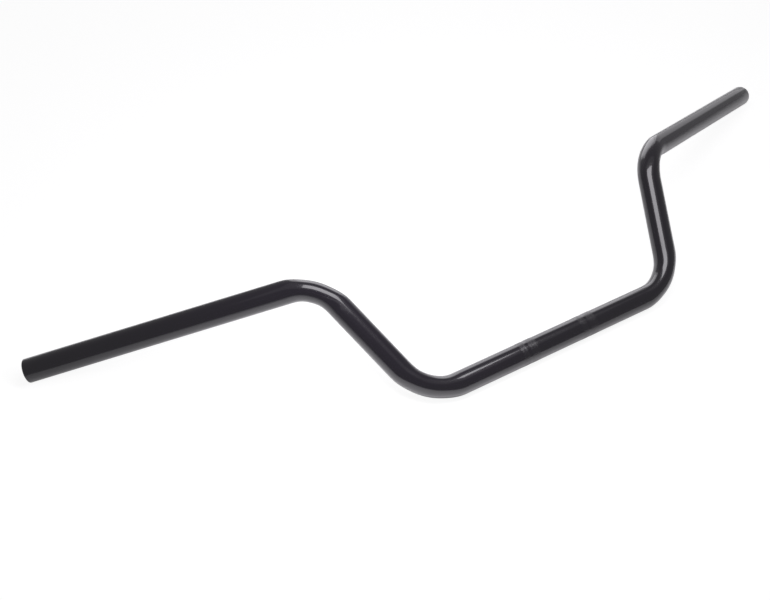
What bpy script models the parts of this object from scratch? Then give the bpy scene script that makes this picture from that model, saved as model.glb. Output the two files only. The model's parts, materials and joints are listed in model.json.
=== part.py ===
"""A bare motorcycle handlebar: one steel tube with four bends and knurled clamp bands.

Frame, in metres: the origin is the middle of the straight clamp section, +X runs along
the bar to the right grip, and +Z is up. The bar lies as it does when it is put down on a
table: on its clamp section and both tube ends, with the risers leaning back over +Y.

The tube is a loft: rings of points carried along a bent centre line. A bevelled curve
can't make it, because the section turns oval in the bends, the bore is open at both
ends, and the outside carries the raised diamonds of the knurling.
"""

from dataclasses import dataclass
from math import asin, atan2, ceil, cos, hypot, pi, radians, sin, tan

import bmesh
import bpy
import numpy as np
from mathutils import Matrix, Vector

# Tube
TUBE_RADIUS = 0.0111
WALL = 0.0021
END_CHAMFER = 0.0005  # on the outer edge of each tube end
BORE_CHAMFER = 0.0004  # on the inner edge of each tube end

# Centre line, by its corners before they are rounded: clamp section, riser, grip. The
# angles are those of the bar held with its risers upright.
CLAMP_HALF_LENGTH = 0.1413  # middle of the bar to the lower corner
RISER_LENGTH = 0.1405  # lower corner to upper corner
RISER_ANGLE = radians(70.5)  # up from the clamp section's line
GRIP_LENGTH = 0.27  # upper corner to tube end
GRIP_SWEEP = radians(22.9)  # backwards
GRIP_RISE = radians(9.1)  # upwards

# Bends. One die bends all four, and it flattens the tube in the bend's own plane and
# spreads it a little across that plane.
BEND_RADIUS = 0.0508  # of the centre line
LOWER_FLATTENING = 0.102  # share of the radius lost in the bend's plane
UPPER_FLATTENING = 0.129
SPREAD = 0.5  # share of the flattening that the tube gains across the plane
OVAL_RUN_IN = 0.015  # length of bend over which round turns to oval

# Knurling: on each side of the middle, a narrow rolled strip and then a wide one
BAND_CENTRE = 0.0337  # middle of the bar to the middle of each pair of strips
NARROW_STRIP = 0.007
STRIP_GAP = 0.0021
WIDE_STRIP = 0.0094
KNURL_DEPTH = 0.0003  # root to crest, half of it above the tube and half below
STRIP_RUN_OUT = 0.0006  # plain tube between the coarse rings and a strip

# Facets
SIDES = 32  # round the outside of the plain tube
BEND_STEP = radians(7)

PAINT_COLOUR = (0.012, 0.0115, 0.0125, 1.0)
PAINT_ROUGHNESS = 0.14

BORE_SIDES = SIDES // 2
KNURL_SIDES = 2 * SIDES
KNURL_STEP = 2 * pi * TUBE_RADIUS / KNURL_SIDES  # half a diamond, round the tube


@dataclass
class Bend:
    """A circular arc of the centre line: where it begins along the line, and how it turns."""

    start: float
    angle: float
    axis: Vector
    flattening: float

    @property
    def end(self):
        return self.start + BEND_RADIUS * self.angle

    def turned(self, distance):
        """The angle already turned through at this distance along the centre line."""
        return min(max((distance - self.start) / BEND_RADIUS, 0.0), self.angle)

    def flattening_at(self, distance):
        """Nothing at either end of the bend, easing to the full amount inside it."""
        depth = min(distance - self.start, self.end - distance) / OVAL_RUN_IN
        eased = min(max(depth, 0.0), 1.0)
        return self.flattening * eased * eased * (3 - 2 * eased)


class CentreLine:
    """Straights joined by bends, followed by the distance from the left end of the bar."""

    def __init__(self, corners, flattenings):
        straights = [b - a for a, b in zip(corners, corners[1:])]
        headings = [straight.normalized() for straight in straights]
        self.origin = corners[0]
        self.heading = headings[0]
        self.bends = []
        reached, trimmed = 0.0, 0.0
        for i, flattening in enumerate(flattenings):
            angle = headings[i].angle(headings[i + 1])
            setback = BEND_RADIUS * tan(angle / 2)
            reached += straights[i].length - trimmed - setback
            axis = headings[i].cross(headings[i + 1]).normalized()
            self.bends.append(Bend(reached, angle, axis, flattening))
            reached, trimmed = self.bends[-1].end, setback
        self.length = reached + straights[-1].length - trimmed

    def at(self, distance):
        """The point there, and the rotation that the bends passed so far have made."""
        point, rotation, done = self.origin.copy(), Matrix.Identity(3), 0.0
        for bend in self.bends:
            heading = rotation @ self.heading
            point += heading * (min(distance, bend.start) - done)
            if distance <= bend.start:
                return point, rotation
            turned = bend.turned(distance)
            inward = bend.axis.cross(heading)
            point += BEND_RADIUS * (sin(turned) * heading + (1 - cos(turned)) * inward)
            rotation = Matrix.Rotation(turned, 3, bend.axis) @ rotation
            if distance <= bend.end:
                return point, rotation
            done = bend.end
        return point + rotation @ self.heading * (distance - done), rotation

    def oval_at(self, distance):
        """The stretch that makes a round section there oval, as a matrix."""
        for bend in self.bends:
            flattening = bend.flattening_at(distance)
            if flattening:
                heading = self.at(distance)[1] @ self.heading
                inward = bend.axis.cross(heading)
                flatten = Matrix.Scale(1 - flattening, 3, inward)
                spread = Matrix.Scale(1 + SPREAD * flattening, 3, bend.axis)
                return spread @ flatten
        return Matrix.Identity(3)


def laid_down(end, heading):
    """The rotation that lays an upright bar on a table, given its right tube end.

    The crests of the knurling and the lowest point of each tube end then touch one level
    surface: the table meets the end at the foot of its chamfer.
    """
    turn = atan2(end.z, end.y)
    slope = asin(heading.y * sin(turn) - heading.z * cos(turn))
    end_height = TUBE_RADIUS * cos(slope) - END_CHAMFER * sin(slope)
    clamp_height = TUBE_RADIUS + KNURL_DEPTH / 2
    turn += asin((clamp_height - end_height) / hypot(end.y, end.z))
    return Matrix.Rotation(-turn, 3, "X")


def bar_centre_line():
    """The centre line from the left tube end to the right one, mirrored about the YZ plane."""
    lower = Vector((CLAMP_HALF_LENGTH, 0, 0))
    upper = lower + RISER_LENGTH * Vector((cos(RISER_ANGLE), 0, sin(RISER_ANGLE)))
    level = cos(GRIP_RISE)
    grip = Vector((level * cos(GRIP_SWEEP), level * sin(GRIP_SWEEP), sin(GRIP_RISE)))
    end = upper + GRIP_LENGTH * grip
    lay = laid_down(end, grip)
    right = [lay @ corner for corner in (lower, upper, end)]
    left = [Vector((-p.x, p.y, p.z)) for p in reversed(right)]
    return CentreLine(
        left + right,
        [UPPER_FLATTENING, LOWER_FLATTENING, LOWER_FLATTENING, UPPER_FLATTENING],
    )


def knurled_strips(line):
    """Where each strip starts and ends along the centre line, from the left."""
    strips = []
    pair = NARROW_STRIP + STRIP_GAP + WIDE_STRIP
    for side in (-1, 1):
        start = line.length / 2 + side * BAND_CENTRE - pair / 2
        strips.append((start, start + NARROW_STRIP))
        strips.append((start + pair - WIDE_STRIP, start + pair))
    return strips


def ring(line, distance, radii):
    """Points round the centre line, one for each radius, as an array of rows."""
    point, rotation = line.at(distance)
    oval = line.oval_at(distance)
    across = rotation @ line.heading.orthogonal().normalized()
    upward = (rotation @ line.heading).cross(across)
    turns = np.arange(len(radii)) * 2 * pi / len(radii)
    frame = np.array([oval @ across, oval @ upward])
    circle = np.stack([np.cos(turns), np.sin(turns)], axis=1) * np.asarray(radii)[:, None]
    return np.array(point) + circle @ frame


def plain_distances(line):
    """Where the plain tube needs a ring: at its ends and through every bend."""
    marks = [0.0, END_CHAMFER]
    for bend in line.bends:
        steps = ceil(bend.angle / BEND_STEP)
        marks += list(np.linspace(bend.start, bend.end, steps + 1))
    return marks + [line.length - END_CHAMFER, line.length]


class Skin:
    """Points and faces of one closed surface, grown ring by ring."""

    def __init__(self):
        self.points = []
        self.faces = []

    def add(self, ring_points):
        """Stores a ring and returns the numbers of its points."""
        first = len(self.points)
        self.points.extend(map(tuple, ring_points))
        return np.arange(first, len(self.points))

    def join(self, a, b):
        """Faces between two rings. One may have twice as many points as the other."""
        if len(a) == len(b):
            self.faces += np.stack([a, np.roll(a, -1), np.roll(b, -1), b], axis=1).tolist()
        elif len(a) < len(b):
            self.fan(a, b)
        else:
            self.fan(b, a)

    def fan(self, coarse, fine):
        """Three triangles for each side of the coarse ring."""
        after = np.roll(coarse, -1)
        even, odd, after_even = fine[::2], fine[1::2], np.roll(fine[::2], -1)
        for triangle in ((coarse, odd, even), (coarse, after, odd), (after, after_even, odd)):
            self.faces += np.stack(triangle, axis=1).tolist()

    def join_diamonds(self, a, b, row):
        """Faces between two rows of diamonds, each split along the groove between crests."""
        for i in range(len(a)):
            j = (i + 1) % len(a)
            if (i + row) % 2:
                self.faces += [(a[i], a[j], b[j]), (a[i], b[j], b[i])]
            else:
                self.faces += [(a[i], a[j], b[i]), (a[j], b[j], b[i])]

    def mesh(self, name):
        mesh = bpy.data.meshes.new(name)
        mesh.from_pydata(self.points, [], self.faces)
        outward = bmesh.new()
        outward.from_mesh(mesh)
        bmesh.ops.recalc_face_normals(outward, faces=outward.faces)
        outward.to_mesh(mesh)
        outward.free()
        return mesh


def add_strip(skin, line, start, end, before):
    """A knurled strip: crests and roots alternate round each row and from row to row."""
    rows = max(2, round((end - start) / KNURL_STEP))
    lead_in = skin.add(ring(line, start - STRIP_RUN_OUT, [TUBE_RADIUS] * SIDES))
    skin.join(before, lead_in)
    last = skin.add(ring(line, start, [TUBE_RADIUS] * KNURL_SIDES))
    skin.join(lead_in, last)
    for row in range(1, rows):
        crest = (np.arange(KNURL_SIDES) + row) % 2 == 0
        radii = TUBE_RADIUS + KNURL_DEPTH * (crest - 0.5)
        this = skin.add(ring(line, start + (end - start) * row / rows, radii))
        skin.join_diamonds(last, this, row - 1)
        last = this
    edge = skin.add(ring(line, end, [TUBE_RADIUS] * KNURL_SIDES))
    skin.join_diamonds(last, edge, rows - 1)
    lead_out = skin.add(ring(line, end + STRIP_RUN_OUT, [TUBE_RADIUS] * SIDES))
    skin.join(edge, lead_out)
    return lead_out


def add_outside(skin, line):
    """The outer surface, with its chamfered ends and its strips. Returns both end rings."""
    strips = {start: end for start, end in knurled_strips(line)}
    first = last = None
    for distance in sorted(plain_distances(line) + list(strips)):
        if distance in strips:
            last = add_strip(skin, line, distance, strips[distance], last)
            continue
        at_end = distance in (0.0, line.length)
        radius = TUBE_RADIUS - END_CHAMFER if at_end else TUBE_RADIUS
        this = skin.add(ring(line, distance, [radius] * SIDES))
        if last is None:
            first = this
        else:
            skin.join(last, this)
        last = this
    return first, last


def bore_ring(line, distance):
    """Points round the bore, which turns oval with the tube and opens at both ends."""
    at_end = distance in (0.0, line.length)
    radius = TUBE_RADIUS - WALL + (BORE_CHAMFER if at_end else 0.0)
    return ring(line, distance, [radius] * BORE_SIDES)


def add_bore(skin, line):
    """The bore, open at both ends. Returns both end rings."""
    marks = plain_distances(line)
    marks[1], marks[-2] = BORE_CHAMFER, line.length - BORE_CHAMFER
    rings = [skin.add(bore_ring(line, distance)) for distance in marks]
    for a, b in zip(rings, rings[1:]):
        skin.join(a, b)
    return rings[0], rings[-1]


def paint():
    material = bpy.data.materials.new("gloss_black_paint")
    material.use_nodes = True
    shader = material.node_tree.nodes["Principled BSDF"]
    shader.inputs["Base Color"].default_value = PAINT_COLOUR
    shader.inputs["Roughness"].default_value = PAINT_ROUGHNESS
    shader.inputs["Metallic"].default_value = 0.0
    return material


def make_handlebar_tube():
    line = bar_centre_line()
    skin = Skin()
    for outer, inner in zip(add_outside(skin, line), add_bore(skin, line)):
        skin.join(inner, outer)
    mesh = skin.mesh("handlebar_tube")
    mesh.materials.append(paint())
    mesh.shade_smooth()
    mesh.set_sharp_from_angle(angle=radians(30))
    return bpy.data.objects.new("handlebar_tube", mesh)


def main():
    for old in list(bpy.data.objects):
        bpy.data.objects.remove(old, do_unlink=True)
    collection = bpy.data.collections.new("handlebar")
    bpy.context.scene.collection.children.link(collection)
    collection.objects.link(make_handlebar_tube())


main()
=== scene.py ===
"""Finished look of a bare motorcycle handlebar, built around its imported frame.

The bar is one steel tube in gloss black paint. It lies as it does on a table: on its
clamp section and both tube ends. Its surface is worked out along the same bent centre
line as the solid it stands for, with every diamond of its knurling, rounded tube ends and
an open bore. A pale floor, soft lamps and a camera complete the studio. Lengths are in
metres. A bend's angle is in radians, and the angles of lamps and camera are in degrees.
"""

import json
import logging
from dataclasses import dataclass, field
from enum import Enum
from typing import Any

import bpy
import numpy as np
from mathutils import Matrix, Vector


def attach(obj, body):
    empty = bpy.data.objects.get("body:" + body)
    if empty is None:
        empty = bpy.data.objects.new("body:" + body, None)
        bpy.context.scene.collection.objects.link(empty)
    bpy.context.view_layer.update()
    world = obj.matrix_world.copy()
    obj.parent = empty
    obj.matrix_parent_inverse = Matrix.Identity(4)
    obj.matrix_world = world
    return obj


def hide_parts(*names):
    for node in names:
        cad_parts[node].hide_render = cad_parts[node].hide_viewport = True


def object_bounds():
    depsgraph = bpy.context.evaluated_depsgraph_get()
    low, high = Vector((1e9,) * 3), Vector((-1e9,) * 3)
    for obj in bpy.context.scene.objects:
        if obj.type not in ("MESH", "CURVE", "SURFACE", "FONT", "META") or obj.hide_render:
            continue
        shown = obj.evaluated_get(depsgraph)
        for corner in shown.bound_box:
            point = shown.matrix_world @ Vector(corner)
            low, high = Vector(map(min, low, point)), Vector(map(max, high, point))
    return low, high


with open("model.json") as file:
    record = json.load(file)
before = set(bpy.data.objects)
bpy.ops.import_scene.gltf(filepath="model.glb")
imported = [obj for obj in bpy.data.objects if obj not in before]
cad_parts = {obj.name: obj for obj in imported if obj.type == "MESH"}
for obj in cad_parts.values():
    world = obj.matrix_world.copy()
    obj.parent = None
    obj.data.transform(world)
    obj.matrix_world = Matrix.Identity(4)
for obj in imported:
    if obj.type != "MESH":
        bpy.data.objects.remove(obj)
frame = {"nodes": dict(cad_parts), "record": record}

LOG = logging.getLogger("handlebar")
CAD_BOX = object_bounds()
NODE = "handlebar_tube"
BODY = "root"
PLANE_TOLERANCE = 0.00002  # most that a point of a flat face may lie out of its plane
SAME_POINT_DECIMALS = 6  # digits of a metre in which two points that are one agree
WHITE = (1.0, 1.0, 1.0, 1.0)
MIX_COLOURS = (6, 7)  # places of a Mix node's two colours among its inputs
MIXED_COLOUR = 2  # and of its colour among its outputs


class Side(Enum):
    """A side of the bar, by the sign of X there."""

    LEFT = -1
    RIGHT = 1


def unit(vectors: np.ndarray) -> np.ndarray:
    """Vectors of length one along the last axis of an array."""
    return vectors / np.linalg.norm(vectors, axis=-1, keepdims=True)


def smoothstep(values: np.ndarray) -> np.ndarray:
    """3t² - 2t³ of values held between 0 and 1, so that it starts and ends level."""
    held = np.clip(values, 0.0, 1.0)
    return held * held * (3 - 2 * held)


def turned_about(axis: np.ndarray, angles: np.ndarray) -> np.ndarray:
    """Rotation matrices about one axis, one for each angle.

    Rodrigues' formula: the identity times cos, plus the axis's cross product matrix times
    sin, plus the axis's outer product times 1 - cos.

    Args:
        axis: Unit vector to turn about.
        angles: Angles in radians, shape (n,).

    Returns:
        Matrices of shape (n, 3, 3).
    """
    x, y, z = axis
    cross = np.array([[0, -z, y], [z, 0, -x], [-y, x, 0]])
    cosine = np.cos(angles)[:, None, None]
    sine = np.sin(angles)[:, None, None]
    return cosine * np.eye(3) + sine * cross + (1 - cosine) * np.outer(axis, axis)


@dataclass(frozen=True)
class TubeEnd:
    """An open end of the tube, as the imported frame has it."""

    centre: np.ndarray
    heading: np.ndarray

    @classmethod
    def read(cls, side: Side) -> "TubeEnd":
        """Reads a tube end from its mount and the solid's own points.

        Args:
            side: The end to read.

        Returns:
            The end, with its centre as the mean of the solid's points in the mount's plane.
        """
        name = f"{side.name.lower()}_tube_end"
        mount = next(m for m in frame["record"]["mounts"] if m["name"] == name)
        place, axis = np.array(mount["pos_m"]), unit(np.array(mount["axis"]))
        vertices = frame["nodes"][NODE].data.vertices
        points = np.empty(3 * len(vertices), np.float32)
        vertices.foreach_get("co", points)
        points = points.reshape(-1, 3).astype(float)
        in_plane = points[np.abs((points - place) @ axis) < PLANE_TOLERANCE]
        single = np.unique(np.round(in_plane, SAME_POINT_DECIMALS), axis=0)
        return cls(single.mean(axis=0), axis)


@dataclass(frozen=True)
class Bend:
    """A circular arc of the centre line, from where it starts along the line."""

    start: float
    angle: float
    radius: float
    heading: np.ndarray
    axis: np.ndarray
    flattening: float

    @property
    def end(self) -> float:
        """Distance along the line at which the bend ends."""
        return self.start + self.radius * self.angle

    def turned(self, distances: np.ndarray) -> np.ndarray:
        """Angles already turned through at distances along the line."""
        return np.clip((distances - self.start) / self.radius, 0.0, self.angle)

    def flattening_at(self, distances: np.ndarray, run_in: float) -> np.ndarray:
        """Flattening at distances along the line: nothing outside, easing in over run_in."""
        depth = np.minimum(distances - self.start, self.end - distances)
        return self.flattening * smoothstep(depth / run_in)


@dataclass(frozen=True)
class BendingDie:
    """The one die that bends all four corners, and what it does to the tube's section."""

    radius: float = 0.0508
    lower_flattening: float = 0.102  # share of the tube's radius lost in the bend's plane
    upper_flattening: float = 0.129
    spread: float = 0.5  # share of the flattening gained across that plane
    run_in: float = 0.020  # length of bend over which round turns to oval


class CentreLine:
    """Straights joined by bends, followed by the distance from the left tube end."""

    def __init__(self, corners: np.ndarray, flattenings: list[float], die: BendingDie) -> None:
        """Rounds each inner corner of a polyline with an arc.

        Args:
            corners: The polyline's points, from the left tube end, shape (n, 3).
            flattenings: One for each inner corner.
            die: The die that bends them.
        """
        legs = np.diff(corners, axis=0)
        lengths = np.linalg.norm(legs, axis=1)
        headings = unit(legs)
        cosines = np.sum(headings[:-1] * headings[1:], axis=1)
        angles = np.arccos(np.clip(cosines, -1.0, 1.0))
        setbacks = np.concatenate([[0.0], die.radius * np.tan(angles / 2), [0.0]])
        self.straights = lengths - setbacks[:-1] - setbacks[1:]
        arcs = np.append(die.radius * angles, 0.0)
        self.starts = np.concatenate([[0.0], np.cumsum(self.straights + arcs)[:-1]])
        self.origin, self.headings, self.die = corners[0], headings, die
        axes = unit(np.cross(headings[:-1], headings[1:]))
        ends = self.starts + self.straights
        self.bends = [
            Bend(ends[i], angles[i], die.radius, headings[i], axes[i], flattening)
            for i, flattening in enumerate(flattenings)
        ]
        self.length = float(ends[-1])

    def points(self, distances: np.ndarray) -> np.ndarray:
        """Points of the centre line.

        Each straight adds the length covered of it along its heading. Each bend adds its
        radius times sin along its heading and times 1 - cos towards its inside.

        Args:
            distances: Distances from the left tube end, shape (n,).

        Returns:
            Points of shape (n, 3).
        """
        points = np.tile(self.origin, (len(distances), 1))
        for start, length, heading in zip(self.starts, self.straights, self.headings):
            points += np.clip(distances - start, 0.0, length)[:, None] * heading
        for bend in self.bends:
            turned = bend.turned(distances)[:, None]
            inward = np.cross(bend.axis, bend.heading)
            points += bend.radius * (np.sin(turned) * bend.heading + (1 - np.cos(turned)) * inward)
        return points

    def rotations(self, distances: np.ndarray) -> np.ndarray:
        """Rotations of the tube since its left end.

        Each is the product of the turns of the bends passed so far, the last one leftmost.

        Args:
            distances: Distances from the left tube end, shape (n,).

        Returns:
            Matrices of shape (n, 3, 3).
        """
        turns = np.tile(np.eye(3), (len(distances), 1, 1))
        for bend in self.bends:
            turns = turned_about(bend.axis, bend.turned(distances)) @ turns
        return turns

    def ovals(self, distances: np.ndarray) -> np.ndarray:
        """Stretches that turn a round section oval.

        The identity, less the flattening along the inward direction, plus the spread along
        the bend's axis, each as an outer product.

        Args:
            distances: Distances from the left tube end, shape (n,).

        Returns:
            Matrices of shape (n, 3, 3).
        """
        ovals = np.tile(np.eye(3), (len(distances), 1, 1))
        headings = self.rotations(distances) @ self.headings[0]
        for bend in self.bends:
            amount = bend.flattening_at(distances, self.die.run_in)[:, None, None]
            inward = np.cross(bend.axis, headings)
            across = inward[:, :, None] * inward[:, None, :]
            ovals += amount * (self.die.spread * np.outer(bend.axis, bend.axis) - across)
        return ovals

    def sections(self, distances: np.ndarray) -> tuple[np.ndarray, np.ndarray]:
        """The two directions that span each section, stretched where the tube is oval.

        They are two directions square to the left end's heading, carried along by the
        rotations and then by the ovals.

        Args:
            distances: Distances from the left tube end, shape (n,).

        Returns:
            The direction that starts out level and the one that starts out upward, each
            of shape (n, 3) and as long as the tube's stretch there.
        """
        turns, ovals = self.rotations(distances), self.ovals(distances)
        start = self.headings[0]
        across = unit(np.cross(start, np.array([0.0, 0.0, 1.0])))
        upward = np.cross(across, start)
        shaped = ovals @ turns
        return shaped @ across, shaped @ upward


@dataclass(frozen=True)
class KnurledStrip:
    """A rolled strip of flat-topped diamonds round the tube, from a distance along it."""

    start: float
    length: float
    around: int  # diamonds round the tube
    pitch: float  # width of a diamond
    depth: float  # bottom of a groove to the top of a diamond
    groove: float = 0.33  # share of the way to a diamond's middle that its groove takes
    border: float = 0.0008  # length over which the pattern fades in at each edge

    @property
    def along(self) -> int:
        """Whole diamonds along the strip."""
        return round(self.length / self.pitch)

    def rows(self, per_diamond: int) -> np.ndarray:
        """Distances of the rows of points that carry the pattern."""
        return self.start + np.linspace(0.0, self.length, per_diamond * self.along + 1)

    def heights(self, distances: np.ndarray, turns: np.ndarray) -> np.ndarray:
        """Height of the pattern above the tube.

        Two families of V grooves wind round the tube in opposite senses. Each follows a
        triangle wave, of the sum and of the difference of the place round the tube and the
        place along it, both counted in diamonds. The surface is the lower of the two waves,
        divided by the groove's share and cut off flat at 1. It runs from -1/2 to 1/2 of the
        depth, and fades to nothing at the strip's edges.

        Args:
            distances: Distances along the tube, shape (n, 1).
            turns: Places round the tube as shares of a full turn, shape (1, m).

        Returns:
            Heights in metres, shape (n, m).
        """
        placed = (distances - self.start) / self.length
        u, v = self.around * turns, self.along * placed
        right_hand = np.abs(2 * ((u + v) % 1.0) - 1)
        left_hand = np.abs(2 * ((u - v) % 1.0) - 1)
        inside = np.minimum(distances - self.start, self.start + self.length - distances)
        fade = smoothstep(inside / self.border)
        cut = np.minimum(right_hand, left_hand) / self.groove
        return self.depth * fade * (np.minimum(cut, 1.0) - 0.5)


class Value:
    """A shader socket that reads as a number, so that sums and products can be written."""

    def __init__(self, graph: "Graph", socket: bpy.types.NodeSocket) -> None:
        """Wraps a node's output socket."""
        self.graph, self.socket = graph, socket

    def _math(self, operation: str, first: Any, second: Any) -> "Value":
        """One Math node on two values, either of which may be a plain number."""
        inputs = {0: first, 1: second}
        return self.graph.value("ShaderNodeMath", {"operation": operation}, inputs)

    def __add__(self, other: Any) -> "Value":
        """This value plus another."""
        return self._math("ADD", self, other)

    __radd__ = __add__

    def __sub__(self, other: Any) -> "Value":
        """This value less another."""
        return self._math("SUBTRACT", self, other)

    def __rsub__(self, other: Any) -> "Value":
        """Another value less this one."""
        return self._math("SUBTRACT", other, self)

    def __mul__(self, other: Any) -> "Value":
        """This value times another."""
        return self._math("MULTIPLY", self, other)

    __rmul__ = __mul__

    def eased(self, low: float, high: float) -> "Value":
        """0 below low, 1 above high, and a smooth rise between them."""
        inputs = {"Value": self, "From Min": low, "From Max": high}
        return self.graph.value("ShaderNodeMapRange", {"interpolation_type": "SMOOTHSTEP"}, inputs)


class Graph:
    """A node tree, grown one node at a time."""

    def __init__(self, tree: bpy.types.NodeTree) -> None:
        """Starts from a node tree with nothing in it."""
        tree.nodes.clear()
        self.tree = tree

    def node(
        self,
        kind: str,
        settings: dict[str, Any] | None = None,
        inputs: dict[str | int, Any] | None = None,
    ) -> bpy.types.Node:
        """Makes a node.

        Args:
            kind: Blender's type name of the node.
            settings: Properties of the node, set before its sockets.
            inputs: A number, colour or Value for each socket, by name or place.

        Returns:
            The node.
        """
        made = self.tree.nodes.new(kind)
        for name, value in (settings or {}).items():
            setattr(made, name, value)
        for name, value in (inputs or {}).items():
            if isinstance(value, Value):
                self.tree.links.new(value.socket, made.inputs[name])
            else:
                made.inputs[name].default_value = value
        return made

    def value(
        self,
        kind: str,
        settings: dict[str, Any] | None = None,
        inputs: dict[str | int, Any] | None = None,
        output: str | int = 0,
    ) -> Value:
        """Makes a node and returns one of its outputs, the first unless it is named."""
        return Value(self, self.node(kind, settings, inputs).outputs[output])

    def noise(self, size: float, detail: float) -> Value:
        """Noise on the object's own coordinates.

        Args:
            size: Rough size of its largest features.
            detail: How many finer layers it has.

        Returns:
            A value from 0 to 1.
        """
        place = self.value("ShaderNodeTexCoord", output="Object")
        inputs = {"Vector": place, "Scale": 1 / size, "Detail": detail}
        return self.value("ShaderNodeTexNoise", inputs=inputs)

    def attribute(self, name: str) -> Value:
        """A number stored on the mesh's points."""
        settings = {"attribute_name": name}
        return self.value("ShaderNodeAttribute", settings, output="Fac")

    def mixed(self, share: Any, first: Any, second: Any) -> Value:
        """A colour between two colours."""
        inputs = {"Factor": share, MIX_COLOURS[0]: first, MIX_COLOURS[1]: second}
        return self.value("ShaderNodeMix", {"data_type": "RGBA"}, inputs, output=MIXED_COLOUR)


@dataclass(frozen=True)
class GlossBlackPaint:
    """Gloss black paint on steel tube, baked hard, with bare steel down the bore."""

    colour: tuple[float, float, float] = (0.0035, 0.0020, 0.0057)
    worn_colour: tuple[float, float, float] = (0.0095, 0.0082, 0.0115)
    steel_colour: tuple[float, float, float] = (0.42, 0.40, 0.38)
    rust_colour: tuple[float, float, float] = (0.11, 0.062, 0.036)
    roughness: float = 0.2  # under the gloss
    roughness_spread: float = 0.10
    steel_roughness: float = 0.46
    gloss_roughness: float = 0.045
    cloud_size: float = 0.03  # of the slow changes in roughness
    grain_size: float = 0.0006
    grain_height: float = 0.25  # on bare steel, as a share of the ripple's
    even_wear: float = 0.35  # share of the wear on the knurling that has no grain in it
    rust_size: float = 0.004
    rust_range: tuple[float, float] = (0.48, 0.72)  # of its noise, from none to full
    rust_dulling: float = 0.6  # share of the metal's look that full rust takes
    ripple_size: float = 0.0022
    ripple_height: float = 0.000006

    def material(self) -> bpy.types.Material:
        """Makes the paint's material.

        The colour, roughness and gloss turn from paint to steel with the attribute `bare`,
        and the tops of the knurling's diamonds are worn, by the attribute `crest`.

        Returns:
            The material.
        """
        made = bpy.data.materials.new("gloss_black_paint")
        made.use_nodes = True
        graph = Graph(made.node_tree)
        crest, bare = graph.attribute("crest"), graph.attribute("bare")
        cloud = graph.noise(self.cloud_size, detail=3.0)
        grain = graph.noise(self.grain_size, detail=2.0)
        rust = graph.noise(self.rust_size, detail=4.0).eased(*self.rust_range)
        worn = crest * (self.even_wear + (1 - self.even_wear) * grain)
        paint = graph.mixed(worn, (*self.colour, 1.0), (*self.worn_colour, 1.0))
        steel = graph.mixed(rust, (*self.steel_colour, 1.0), (*self.rust_colour, 1.0))
        roughness = self.roughness + self.roughness_spread * (cloud - 0.5)
        ripple = graph.noise(self.ripple_size, detail=1.0)
        height = ripple + self.grain_height * grain * bare
        bump = graph.value(
            "ShaderNodeBump",
            inputs={"Strength": 1.0, "Distance": self.ripple_height, "Height": height},
        )
        shader = graph.value(
            "ShaderNodeBsdfPrincipled",
            inputs={
                "Base Color": graph.mixed(bare, paint, steel),
                "Metallic": bare * (1 - self.rust_dulling * rust),
                "Roughness": roughness * (1 - bare) + self.steel_roughness * bare,
                "Coat Weight": 1 - bare,
                "Coat Roughness": self.gloss_roughness,
                "Normal": bump,
            },
        )
        graph.node("ShaderNodeOutputMaterial", inputs={"Surface": shader})
        return made


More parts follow.
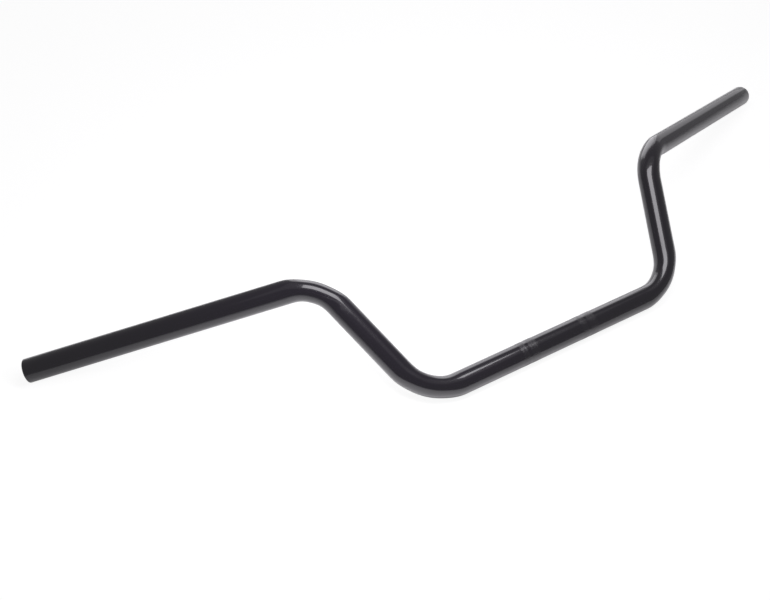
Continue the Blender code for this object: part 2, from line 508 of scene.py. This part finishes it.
@dataclass
class BentTube:
    """The handlebar itself: one bent tube with rounded ends, a bore and knurled strips."""

    radius: float = 0.01107  # a hair within the solid's
    wall: float = 0.0021
    clamp_half_length: float = 0.1413  # middle of the bar to the lower corner
    grip_length: float = 0.27  # upper corner to tube end
    outer_rounding: float = 0.00085
    bore_rounding: float = 0.0004
    band_centre: float = 0.0337  # middle of the bar to the middle of each pair of strips
    narrow_strip: float = 0.007
    strip_gap: float = 0.0021
    wide_strip: float = 0.0094
    diamonds_around: int = 40
    knurl_depth: float = 0.00015
    points_per_diamond: int = 6
    straight_step: float = 0.03  # most between rings on a straight
    bend_step: float = 0.0027  # and in a bend, outside
    bore_step: float = 0.005  # and in a bend of the bore
    rounding_steps: int = 5
    warp_limit: float = 0.00002  # most that a quad's corners may lie out of one plane
    paint_reach: float = 0.004  # depth down the bore at which paint is half gone to steel
    die: BendingDie = field(default_factory=BendingDie)
    paint: GlossBlackPaint = field(default_factory=GlossBlackPaint)

    def centre_line(self) -> CentreLine:
        """The centre line between the two tube ends that the frame gives.

        Returns:
            The line through the left end, the four corners and the right end. An upper
            corner lies back from its tube end along the grip, and the lower ones lie on
            the X axis.
        """
        right = TubeEnd.read(Side.RIGHT)
        upper = right.centre - self.grip_length * right.heading
        lower = np.array([self.clamp_half_length, 0.0, 0.0])
        half = np.array([lower, upper, right.centre])
        corners = np.concatenate([half[::-1] * np.array([Side.LEFT.value, 1, 1]), half])
        low, high = self.die.lower_flattening, self.die.upper_flattening
        return CentreLine(corners, [high, low, low, high], self.die)

    def strips(self, line: CentreLine) -> list[KnurledStrip]:
        """The narrow and the wide strip on each side of the middle.

        Args:
            line: The centre line.

        Returns:
            Four strips, from the left. On both sides the narrow one comes first.
        """
        pair = self.narrow_strip + self.strip_gap + self.wide_strip
        pitch = 2 * np.pi * self.radius / self.diamonds_around
        strips = []
        for side in Side:
            start = line.length / 2 + side.value * self.band_centre - pair / 2
            wide_start = start + pair - self.wide_strip
            for first, length in ((start, self.narrow_strip), (wide_start, self.wide_strip)):
                shape = (self.diamonds_around, pitch, self.knurl_depth)
                strips.append(KnurledStrip(first, length, *shape))
        return strips

    def stations(self, line: CentreLine, bend_step: float, reach: float) -> np.ndarray:
        """Distances for rings, closer together in the bends than on the straights.

        Args:
            line: The centre line.
            bend_step: Largest distance between rings in a bend.
            reach: Distance from each tube end at which the first ring stands.

        Returns:
            Rising distances, shape (n,).
        """
        marks = [reach]
        for bend in line.bends:
            marks += [bend.start, bend.end]
        marks.append(line.length - reach)
        runs = []
        for i, (low, high) in enumerate(zip(marks, marks[1:])):
            step = bend_step if i % 2 else self.straight_step
            runs.append(np.linspace(low, high, int(np.ceil((high - low) / step)) + 1)[:-1])
        return np.append(np.concatenate(runs), marks[-1])

    def outer_rings(self, line: CentreLine) -> tuple[np.ndarray, np.ndarray]:
        """Distance and radius of every ring of the outside, from left to right.

        An end is rounded by a quarter circle: its rings stand 1 - cos of the rounding from
        the end, at a radius that falls short by 1 - sin of it.

        Args:
            line: The centre line.

        Returns:
            Distances and radii, each of shape (n,).
        """
        quarter = np.linspace(0.0, np.pi / 2, self.rounding_steps + 1)[:-1]
        rounding = self.outer_rounding
        inset, short = rounding * (1 - np.cos(quarter)), rounding * (1 - np.sin(quarter))
        middle = self.stations(line, self.bend_step, rounding)
        for strip in self.strips(line):
            margin = strip.border
            rows = strip.rows(self.points_per_diamond)
            apart = (middle < rows[0] - margin) | (middle > rows[-1] + margin)
            rows = np.concatenate([[rows[0] - margin], rows, [rows[-1] + margin]])
            middle = np.sort(np.concatenate([middle[apart], rows]))
        distances = np.concatenate([inset, middle, line.length - inset[::-1]])
        radii = np.full(len(distances), self.radius)
        radii[: len(quarter)] -= short
        radii[-len(quarter) :] -= short[::-1]
        return distances, radii

    def bore_rings(self, line: CentreLine) -> tuple[np.ndarray, np.ndarray]:
        """Distance and radius of every ring of the bore, from right to left.

        Its mouths are rounded as the tube's ends are, but grow wider towards the end. Extra
        rings mark where the paint thins out.

        Args:
            line: The centre line.

        Returns:
            Distances and radii, each of shape (n,).
        """
        quarter = np.linspace(0.0, np.pi / 2, self.rounding_steps + 1)[:-1]
        rounding = self.bore_rounding
        inset, wide = rounding * (1 - np.cos(quarter)), rounding * (1 - np.sin(quarter))
        middle = self.stations(line, self.bore_step, rounding)[::-1]
        paint_marks = np.array([self.paint_reach, 2 * self.paint_reach])
        middle = np.concatenate([middle, line.length - paint_marks, paint_marks])
        middle = np.unique(middle)[::-1]
        distances = np.concatenate([line.length - inset, middle, inset[::-1]])
        radii = np.full(len(distances), self.radius - self.wall)
        radii[: len(quarter)] += wide
        radii[-len(quarter) :] += wide[::-1]
        return distances, radii

    def surface(self) -> tuple[np.ndarray, np.ndarray, np.ndarray]:
        """Points of the whole tube as one grid that closes on itself both ways.

        Rows run along the outside, round the right end, back along the bore and round the
        left end. A point is the centre line's point plus its radius times cos of its turn
        along one direction of the section and sin along the other. On the knurled strips
        the radius gains the height of the diamonds.

        Returns:
            Points of shape (rows, columns, 3), how near each is to the top of a diamond
            and how bare its steel is, both as shares of shape (rows, columns).
        """
        line = self.centre_line()
        outer, outer_radii = self.outer_rings(line)
        bore, bore_radii = self.bore_rings(line)
        distances = np.concatenate([outer, bore])[:, None]
        columns = self.points_per_diamond * self.diamonds_around
        turns = np.arange(columns)[None, :] / columns
        radii = np.concatenate([outer_radii, bore_radii])[:, None] + np.zeros_like(turns)
        relief = np.zeros_like(radii)
        is_outer = (np.arange(len(distances)) < len(outer))[:, None]
        for strip in self.strips(line):
            on_strip = (distances >= strip.start) & (distances <= strip.start + strip.length)
            relief += np.where(on_strip & is_outer, strip.heights(distances, turns), 0.0)
        along, upward = line.sections(distances[:, 0])
        angle = 2 * np.pi * turns[:, :, None]
        spokes = np.cos(angle) * along[:, None, :] + np.sin(angle) * upward[:, None, :]
        points = line.points(distances[:, 0])[:, None, :] + (radii + relief)[:, :, None] * spokes
        crest = np.clip(relief / self.knurl_depth + 0.5, 0.0, 1.0) * (np.abs(relief) > 0)
        depth = np.minimum(distances, line.length - distances) / self.paint_reach
        bare = np.where(is_outer, 0.0, smoothstep(depth - 0.5)) + np.zeros_like(turns)
        return points, crest, bare

    def faces(self, points: np.ndarray) -> list[list[int]]:
        """Faces of the closed grid.

        Each cell is a quad, except where its corners lie well out of one plane, as on the
        diamonds. There it is split along the diagonal that lies deeper in the tube.

        Args:
            points: The grid's points, shape (rows, columns, 3).

        Returns:
            Lists of vertex numbers.
        """
        rows, columns = points.shape[:2]
        numbers = np.arange(rows * columns).reshape(rows, columns)
        below, beside = np.roll(numbers, -1, axis=0), np.roll(numbers, -1, axis=1)
        opposite = np.roll(below, -1, axis=1)
        a, b, c, d = (grid.ravel() for grid in (numbers, below, opposite, beside))
        flat = points.reshape(-1, 3)
        normal = unit(np.cross(flat[c] - flat[a], flat[d] - flat[b]))
        warp = np.sum((flat[b] - flat[a]) * normal, axis=1)
        split = np.abs(warp) > self.warp_limit
        cut = split & (warp < 0)
        other = split & (warp >= 0)
        quads = np.stack([a, b, c, d], axis=1)[~split]
        first = np.stack([a, b, d, b, c, d], axis=1)[cut].reshape(-1, 3)
        second = np.stack([a, b, c, a, c, d], axis=1)[other].reshape(-1, 3)
        return quads.tolist() + first.tolist() + second.tolist()

    def build(self) -> bpy.types.Object:
        """Builds the tube's mesh, with its attributes and its paint.

        Returns:
            The tube, which rides on its body and stands for its solid.
        """
        points, crest, bare = self.surface()
        mesh = bpy.data.meshes.new("painted_tube")
        mesh.from_pydata(points.reshape(-1, 3), [], self.faces(points))
        for name, values in (("crest", crest), ("bare", bare)):
            layer = mesh.attributes.new(name, "FLOAT", "POINT")
            layer.data.foreach_set("value", values.ravel().astype(np.float32))
        mesh.materials.append(self.paint.material())
        mesh.shade_smooth()
        tube = bpy.data.objects.new("painted_tube", mesh)
        bpy.context.scene.collection.objects.link(tube)
        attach(tube, BODY)
        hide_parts(NODE)
        return tube


@dataclass(frozen=True)
class Lamp:
    """A flat rectangular studio lamp."""

    name: str
    place: tuple[float, float, float]  # of its middle
    size: tuple[float, float]
    radiance: float
    aim: tuple[float, float, float] | None = None  # a point that it faces, or straight down
    turn: float = 0.0  # about the line to its aim
    tint: tuple[float, float, float] = (1.02, 1.0, 1.045)
    mirrored: bool = True  # whether polished surfaces show it
    lights: bool = True  # whether it lights plain surfaces

    def build(self) -> bpy.types.Object:
        """Makes the lamp, whose power gives its radiance over its area.

        Returns:
            The lamp's object.
        """
        light = bpy.data.lights.new(self.name, "AREA")
        light.shape = "RECTANGLE"
        light.size, light.size_y = self.size
        area = self.size[0] * self.size[1]
        light.energy = self.radiance * np.pi * area
        light.color = self.tint
        lamp = bpy.data.objects.new(self.name, light)
        down = Vector((0.0, 0.0, -1.0))
        towards = down if self.aim is None else Vector(self.aim) - Vector(self.place)
        turn = Matrix.Rotation(np.radians(self.turn), 4, "Z")
        lamp.matrix_world = (
            Matrix.Translation(self.place)
            @ towards.to_track_quat("-Z", "Y").to_matrix().to_4x4()
            @ turn
        )
        lamp.visible_camera = False
        lamp.visible_glossy, lamp.visible_diffuse = self.mirrored, self.lights
        bpy.context.scene.collection.objects.link(lamp)
        return lamp


def studio_lamps() -> tuple[Lamp, ...]:
    """The lamps of the studio.

    A square softbox hangs over the bar, with its own faint spill round it and a long dim
    strip beside it. Low panels behind and beside the bar show only in its gloss, the one
    behind with a spill of its own that softens its edges. Two small lamps over the floor,
    which the gloss doesn't show, light the paper that it mirrors.

    Returns:
        The lamps.
    """
    above, above_spill = (0.006, 0.138, 0.69), (0.006, 0.138, 0.695)
    behind, behind_spill = (0.329, 0.694, 0.159), (0.3317, 0.6981, 0.16)
    beside = (0.686, 0.464, 0.159)
    back_aim, side_aim = (-0.084, 0.054, 0.0), (0.273, -0.176, 0.0)
    return (
        Lamp("softbox", above, (0.448, 0.466), 3.6, turn=53.0),
        Lamp("softbox_spill", above_spill, (0.863, 0.897), 0.13, turn=53.0),
        Lamp("strip", (-0.335, -0.314, 0.69), (0.838, 0.038), 0.5, turn=21.2),
        Lamp("back_panel", behind, (0.44, 0.34), 0.6, aim=back_aim, lights=False),
        Lamp("back_panel_spill", behind_spill, (0.6, 0.47), 0.85, aim=back_aim, lights=False),
        Lamp("side_panel", beside, (0.35, 0.388), 0.35, aim=side_aim, lights=False),
        Lamp("floor_fill_left", (-0.2, 0.0, 0.26), (0.1, 0.1), 26.5, mirrored=False),
        Lamp("floor_fill_right", (0.28, -0.05, 0.3), (0.1, 0.1), 6.0, mirrored=False),
    )


@dataclass
class Studio:
    """The pale floor, the soft lamps, the room's own light and the camera."""

    floor_half_width: float = 6.0
    floor_gap: float = 0.00001  # between the floor and the bar's lowest point
    floor_colour: tuple[float, float, float] = (0.8, 0.8, 0.8)
    room_colour: tuple[float, float, float] = (0.170, 0.166, 0.176)
    camera_white: float = 0.8  # share of plain white in the floor, as the camera sees it
    mirrored_white: float = 0.1  # and as polished surfaces and glass show it
    floor_glow: float = 1.15
    azimuth: float = 32.333  # of the camera's view, from +Y towards +X
    depression: float = 45.991
    roll: float = 1.993
    distance: float = 1.00678  # to the aim point
    aim_offset: tuple[float, float] = (-0.10633, 0.02911)  # from the middle of the bar's box
    lens: float = 48.418  # in millimetres, as is the next
    sensor_width: float = 36.0
    lamps: tuple[Lamp, ...] = field(default_factory=studio_lamps)

    def floor(self) -> bpy.types.Object:
        """Makes the square floor that the bar rests on.

        Returns:
            The floor's object.
        """
        level = CAD_BOX[0].z - self.floor_gap
        signs = ((-1, -1), (1, -1), (1, 1), (-1, 1))
        corners = [(x * self.floor_half_width, y * self.floor_half_width, level) for x, y in signs]
        mesh = bpy.data.meshes.new("floor")
        mesh.from_pydata(corners, [], [(0, 1, 2, 3)])
        mesh.materials.append(self.floor_material())
        floor = bpy.data.objects.new("floor", mesh)
        bpy.context.scene.collection.objects.link(floor)
        return floor

    def floor_material(self) -> bpy.types.Material:
        """Makes white paper.

        Where it is seen directly most of what shows is plain white, and the rest is the
        paper's own shading, which keeps a faint shadow. Polished surfaces and glass show
        mostly that shading.

        Returns:
            The material.
        """
        made = bpy.data.materials.new("white_paper")
        made.use_nodes = True
        graph = Graph(made.node_tree)
        shown = self.white_share(graph, self.camera_white)
        paper = graph.value("ShaderNodeBsdfDiffuse", inputs={"Color": (*self.floor_colour, 1.0)})
        glow = {"Color": WHITE, "Strength": self.floor_glow}
        white = graph.value("ShaderNodeEmission", inputs=glow)
        surface = graph.value("ShaderNodeMixShader", inputs={0: shown, 1: paper, 2: white})
        graph.node("ShaderNodeOutputMaterial", inputs={"Surface": surface})
        return made

    def white_share(self, graph: Graph, camera_share: float) -> Value:
        """Share of plain white in the background, by the kind of ray that meets it.

        Args:
            graph: The node tree to add to.
            camera_share: The share that the camera sees.

        Returns:
            That share for camera rays, the mirrored share for glossy and transmission
            rays, and nothing for the rays that carry light.
        """
        path = graph.node("ShaderNodeLightPath")
        kinds = ("Is Camera Ray", "Is Glossy Ray", "Is Transmission Ray")
        camera, glossy, transmission = (Value(graph, path.outputs[kind]) for kind in kinds)
        return camera * camera_share + (glossy + transmission) * self.mirrored_white

    def room(self) -> None:
        """Lights the scene evenly and dimly from all round, behind a white background."""
        world = bpy.data.worlds.new("studio_room")
        world.use_nodes = True
        graph = Graph(world.node_tree)
        shown = self.white_share(graph, 1.0)
        colour = graph.mixed(shown, (*self.room_colour, 1.0), WHITE)
        glow = graph.value("ShaderNodeBackground", inputs={"Color": colour})
        graph.node("ShaderNodeOutputWorld", inputs={"Surface": glow})
        bpy.context.scene.world = world

    def camera(self) -> bpy.types.Object:
        """Places the camera by its aim point on the floor and the way it looks.

        Its forward axis lies below its level heading by the depression, and its right and up
        axes are turned about it by the roll.

        Returns:
            The camera's object.
        """
        azimuth, depression, roll = np.radians([self.azimuth, self.depression, self.roll])
        level_heading = np.array([np.sin(azimuth), np.cos(azimuth), 0.0])
        up = np.array([0.0, 0.0, 1.0])
        forward = np.cos(depression) * level_heading - np.sin(depression) * up
        level_right = np.array([np.cos(azimuth), -np.sin(azimuth), 0.0])
        level_up = np.cross(level_right, forward)
        right = np.cos(roll) * level_right + np.sin(roll) * level_up
        turn = np.stack([right, np.cross(right, forward), -forward], axis=1)
        middle = (CAD_BOX[0] + CAD_BOX[1]) / 2
        across, along = self.aim_offset
        aim = np.array([middle.x + across, middle.y + along, CAD_BOX[0].z])
        data = bpy.data.cameras.new("studio_camera")
        data.lens, data.sensor_width = self.lens, self.sensor_width
        camera = bpy.data.objects.new("studio_camera", data)
        place = Matrix.Translation(aim - self.distance * forward)
        camera.matrix_world = place @ Matrix(turn).to_4x4()
        bpy.context.scene.collection.objects.link(camera)
        bpy.context.scene.camera = camera
        return camera

    def build(self) -> None:
        """Builds the whole studio and sets how its light is shown."""
        self.floor()
        self.room()
        for lamp in self.lamps:
            lamp.build()
        self.camera()
        bpy.context.scene.view_settings.view_transform = "Standard"


def main() -> None:
    """Builds the handlebar and its studio, and logs how many points and triangles the bar's mesh
    has.
    """
    logging.basicConfig(level=logging.INFO, format="%(name)s: %(message)s")
    tube = BentTube().build()
    triangles = sum(len(face.vertices) - 2 for face in tube.data.polygons)
    LOG.info("%s: %d points, %d triangles", tube.name, len(tube.data.vertices), triangles)
    studio = Studio()
    studio.build()
    LOG.info("studio: %d lamps, a floor and a camera", len(studio.lamps))


if __name__ == "__main__":
    main()
